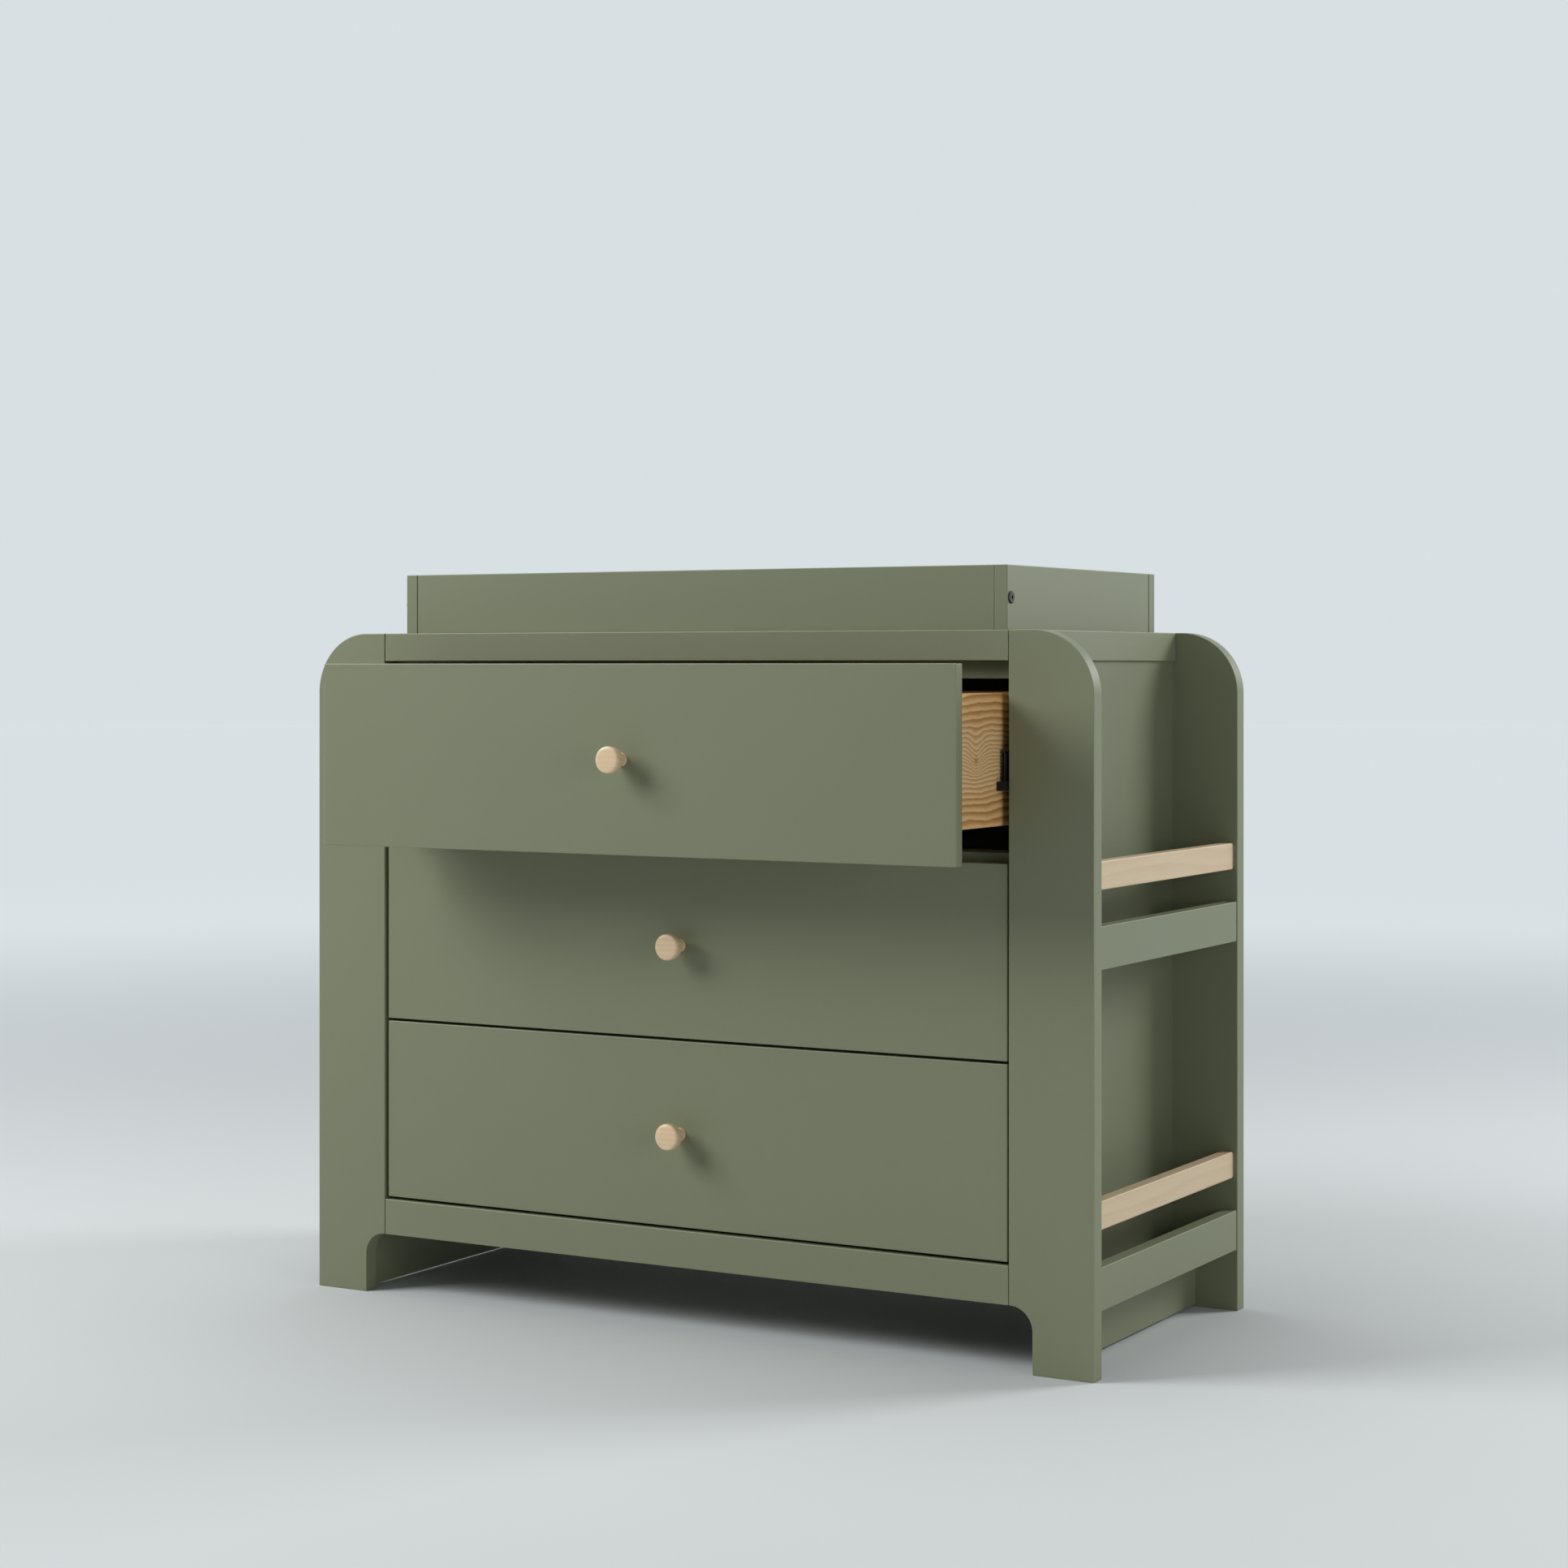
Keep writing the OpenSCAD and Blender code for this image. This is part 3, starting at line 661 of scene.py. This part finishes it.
def build_pine_figure():
    """Turns = z / ring + crowd * tanh(z / reach), of a z bent by noise and knots; each turn is a year."""
    tree, given, result = group("pine_figure", {"Knot at": 0.0})
    vector = given["Vector"]
    part = add(tree, "ShaderNodeSeparateXYZ", {0: vector}).outputs
    slow = noise(tree, stretched(tree, vector, (9.0, 16.0, 12.0)), 1.0, detail=1)
    quick = noise(tree, stretched(tree, vector, (55.0, 100.0, 60.0)), 1.0, detail=2)
    bend = swing(tree, quick, QUICK_BEND, swing(tree, slow, SLOW_BEND, 0.0))
    steps = maths(tree, "DIVIDE", maths(tree, "SUBTRACT", part[0], given["Knot at"]), KNOT_STEP)
    knot_x = swing(tree, maths(tree, "FRACT", steps), KNOT_STEP, 0.0)
    sag = bell(tree, knot_x, SAG_LONG, maths(tree, "SUBTRACT", part[1], SAG_ABOVE), SAG_TALL)
    z = maths(tree, "MULTIPLY_ADD", sag, SAG, maths(tree, "ADD", part[1], bend))
    zone = ramp_between(tree, maths(tree, "ABSOLUTE", z), ZONE_FROM, ZONE_TO)
    crowd = maths(tree, "MULTIPLY", maths(tree, "TANH", maths(tree, "DIVIDE", z, RING_REACH)), RING_CROWD)
    rise = maths(tree, "FRACT", maths(tree, "ADD", maths(tree, "DIVIDE", z, RING_W), crowd))
    late = ramp_between(tree, rise, LATE_FROM, LATE_TO)
    bands = maths(tree, "MULTIPLY", late, ramp_between(tree, rise, LATE_TO, 1.0, 1.0, 0.0))
    knot = bell(tree, knot_x, KNOT_LONG, part[1], KNOT_TALL)
    fibres = noise(tree, stretched(tree, vector, (22.0, 1300.0, 1300.0)), 1.0, detail=2, rough=0.6)
    colour = blend_colour(tree, zone, srgb(247, 213, 158), srgb(246, 202, 138))
    band_depth = maths(tree, "MULTIPLY_ADD", zone, BAND_DEEPENS, BAND_DEPTH)
    layers = (
        (bands, band_depth, srgb(176, 112, 52)),
        (fibres, 0.16, srgb(180, 126, 70)),
        (knot, 0.6, srgb(128, 76, 36)),
    )
    for mask, depth, darker in layers:
        colour = blend_colour(tree, maths(tree, "MULTIPLY", mask, depth), colour, darker)
    gloss = maths(tree, "MULTIPLY_ADD", bands, BAND_GLOSS, PALE_ROUGHNESS)
    return hand_out(tree, result, colour, gloss, maths(tree, "MULTIPLY_ADD", bands, 0.5, fibres))


pine_figure = build_pine_figure()
print("group:", pine_figure.name)

# %% Pine for each board
# From a board's start to its first knot: the right-hand sides, and all others.
FRONT_KNOT, OTHER_KNOT = 0.0515, 0.13


def pine(node):
    """Pine for one board; its middle's height and its start along the grain place figure and knots."""
    low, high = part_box(node)
    order, start = ("XZY", low[0]) if node.startswith("back") else ("YZX", low[1])
    first_knot = FRONT_KNOT if node.startswith("side_right") else OTHER_KNOT
    knot_at = start + first_knot - KNOT_STEP / 2
    level = (low[2] + high[2]) / 2
    return made_of(node + "_pine", pine_figure, (0.2, 0.0004), {"Knot at": knot_at}, order,
                   (0.0, -level, 0.0), Coat_Weight=0.25, Coat_Roughness=0.3)


pine_woods = {node: pine(node) for node in PINE_BOARDS}
print("pine boards given their own figure:", len(pine_woods))

# %% [markdown]
# ## Metals
# The tracks are pressed steel with a black electrocoat that is rubbed bright in fine lines along the
# direction of travel. The tray's bolts are blackened steel, and the knob screws are zinc plated.

# %% Steels
RUB_FINE = (900.0, 6.0, 900.0)
PATCHES = 35.0


def build_steel_streaks():
    """Colour with a rubbed one showing where long noise along Y times patchy noise is high."""
    tree, given, result = group(
        "steel_streaks", {"Colour": MID_GREY, "Rubbed": MID_GREY, "Streaks": 0.5, "Roughness": 0.3})
    lines = noise(tree, stretched(tree, given["Vector"], RUB_FINE), 1.0, detail=3, rough=0.65)
    patches = noise(tree, given["Vector"], PATCHES, detail=2)
    mask = ramp_between(tree, maths(tree, "MULTIPLY", lines, patches), 0.22, 0.42)
    shown = maths(tree, "MULTIPLY", mask, given["Streaks"])
    tinted = blend_colour(tree, shown, given["Colour"], given["Rubbed"])
    gloss = maths(tree, "MULTIPLY_ADD", lines, 0.2, given["Roughness"])
    return hand_out(tree, result, tinted, gloss, lines)


steel_streaks = build_steel_streaks()


def steel(name, colour, rubbed, roughness, metallic, streaks):
    """Coated steel: the rubbed colour shows in fine streaks along Y."""
    sockets = {"Colour": colour, "Rubbed": rubbed, "Roughness": roughness, "Streaks": streaks}
    return made_of(name, steel_streaks, (0.08, 0.0001), sockets, Metallic=metallic)


track_black = steel("track_black_steel", srgb(26, 26, 27), srgb(92, 92, 94), 0.32, 0.6, 0.5)
bolt_dark = steel("bolt_dark_steel", srgb(58, 58, 56), srgb(120, 120, 118), 0.3, 0.85, 0.6)
screw_zinc = steel("screw_zinc", srgb(176, 174, 166), srgb(214, 212, 206), 0.25, 1.0, 0.7)
print("metals:", track_black.name, bolt_dark.name, screw_zinc.name)

# %% [markdown]
# ## Dressing every part
# Each part now gets its finish. Pieces made above take one of their own. A part that keeps its plain
# shape has its material slot overwritten, by the name of its node.

# %% Assign the finishes
def finish_with(obj, material):
    """Puts one material on an object, in place of whatever it had."""
    obj.data.materials.clear()
    obj.data.materials.append(material)


def finish_of(node):
    """Finish of a node that keeps its plain shape."""
    if node.startswith("track"):
        return track_black
    if node == "tray_bolts":
        return bolt_dark
    if node.startswith("bottom"):
        return plywood
    if node in ("case_top", "shelves_left", "shelves_right"):
        return sage
    # Every other painted part gets the darker copy, as painted shade.
    return sage_shaded


for pieces, material in ((painted, sage), (bars, bar_wood), (knobs, knob_wood), (screws, screw_zinc)):
    for piece in pieces:
        finish_with(piece, material)
for node, piece in pine_boards.items():
    finish_with(piece, pine_woods[node])
for node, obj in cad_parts.items():
    if not obj.hide_render:
        finish_with(obj, finish_of(node))
print("materials in use:", len([m for m in bpy.data.materials if m.users]))

# %% [markdown]
# ## Floor, light and camera
# The piece stands on a wide pale studio floor. A large soft lamp high on the left gives the front its
# fall-off and throws the knobs' soft shadows down to the right. A weak low lamp on the right softens
# those shadows, a panel behind on the right lifts the end of the case, one overhead picks out the
# softened top edges, and a dim even sky keeps the niches readable. The eye sees a paler sky than the one
# that lights the piece. The camera looks level, so that uprights stay upright in the view, and its shift
# lowers the view towards the middle of the piece.

# %% Studio floor
FLOOR_R = 40.0
FLOOR_CORNERS = 96
# The floor's own shading gives way to the sky's pale tone between these distances from the middle.
NEAR, FAR = 0.3, 6.5


def studio_floor():
    """Round flat floor, wide enough to meet the sky in a hardly visible line."""
    angle = np.linspace(0, 2 * np.pi, FLOOR_CORNERS, endpoint=False)
    rim = np.stack([FLOOR_R * np.cos(angle), FLOOR_R * np.sin(angle), np.zeros(FLOOR_CORNERS)], axis=1)
    mesh = bpy.data.meshes.new("studio_floor")
    mesh.from_pydata(rim.tolist(), [], [list(range(FLOOR_CORNERS))])
    floor = bpy.data.objects.new("studio_floor", mesh)
    bpy.context.scene.collection.objects.link(floor)
    return floor


def seen_by_eye(tree):
    """1 for rays from the eye, or by way of a glossy or clear surface; 0 for rays that carry light."""
    path = tree.nodes.new("ShaderNodeLightPath").outputs
    clear = maths(tree, "MAXIMUM", path["Is Glossy Ray"], path["Is Transmission Ray"])
    return maths(tree, "MAXIMUM", path["Is Camera Ray"], clear)


def floor_paint():
    """Matt pale grey, lifted towards the sky's even pale tone as it runs out of the lamps' reach."""
    material, tree, shader, place = new_material(
        "studio_floor_paint", Roughness=0.85, Emission_Strength=1.0)
    tone = blend_colour(tree, noise(tree, place, 0.8, detail=2), srgb(196, 201, 202), srgb(202, 206, 207))
    away = add(tree, "ShaderNodeVectorMath", {0: place}, operation="LENGTH").outputs["Value"]
    far = ramp_between(tree, away, NEAR, FAR)
    colour = blend_colour(tree, far, tone, srgb(120, 124, 125))
    tree.links.new(colour, shader.inputs["Base Color"])
    lift = maths(tree, "MULTIPLY", seen_by_eye(tree), far)
    glow = blend_colour(tree, lift, srgb(0, 0, 0), srgb(204, 211, 215))
    tree.links.new(glow, shader.inputs["Emission Color"])
    return material


floor = studio_floor()
finish_with(floor, floor_paint())
print("floor:", round(floor.dimensions.x, 2), "m across, finished with", floor.data.materials[0].name)

# %% Lamps and sky
def soft_lamp(name, place, target, size, power):
    """Square area lamp that faces a target."""
    lamp = bpy.data.lights.new(name, "AREA")
    lamp.shape = "SQUARE"
    lamp.size = size
    lamp.energy = power
    obj = bpy.data.objects.new(name, lamp)
    obj.location = place
    obj.rotation_euler = (Vector(target) - Vector(place)).to_track_quat("-Z", "Y").to_euler()
    obj.visible_camera = False
    bpy.context.scene.collection.objects.link(obj)
    return obj


HEART = (0.0, 0.0, 0.5)
# Each lamp's place and width in metres, and its power in watts.
LAMPS = {
    "key_lamp": ((-3.2, -2.7, 3.1), 2.4, 205),
    "front_fill": ((3.1, -1.4, 0.9), 1.4, 20),
    "end_panel": ((2.5, 2.4, 2.1), 1.3, 80),
    "top_panel": ((-0.5, 0.2, 3.4), 2.2, 40),
}
for name, (place, size, power) in LAMPS.items():
    soft_lamp(name, place, HEART, size, power)

SKY_LIGHT = (0.108, 0.110, 0.113, 1.0)
SKY_SEEN = srgb(216, 224, 228)
world = bpy.data.worlds.new("studio_sky")
bpy.context.scene.world = world
world.use_nodes = True
sky = blend_colour(world.node_tree, seen_by_eye(world.node_tree), SKY_LIGHT, SKY_SEEN)
world.node_tree.links.new(sky, world.node_tree.nodes["Background"].inputs["Color"])
bpy.context.scene.view_settings.view_transform = "Standard"

# %% Camera
SENSOR_W = 36.0
LENS = 69.84
SHIFT_UP = -0.0749
STANDS_AT = (1.9725, -3.3566, 0.82085)
TURNED_LEFT = 29.638
eye = bpy.data.cameras.new("studio_camera")
eye.sensor_width = SENSOR_W
eye.lens = LENS
eye.shift_y = SHIFT_UP
camera = bpy.data.objects.new("studio_camera", eye)
camera.location = STANDS_AT
camera.rotation_euler = (np.pi / 2, 0.0, np.radians(TURNED_LEFT))
bpy.context.scene.collection.objects.link(camera)
bpy.context.scene.camera = camera
print("camera at", tuple(round(v, 3) for v in camera.location))
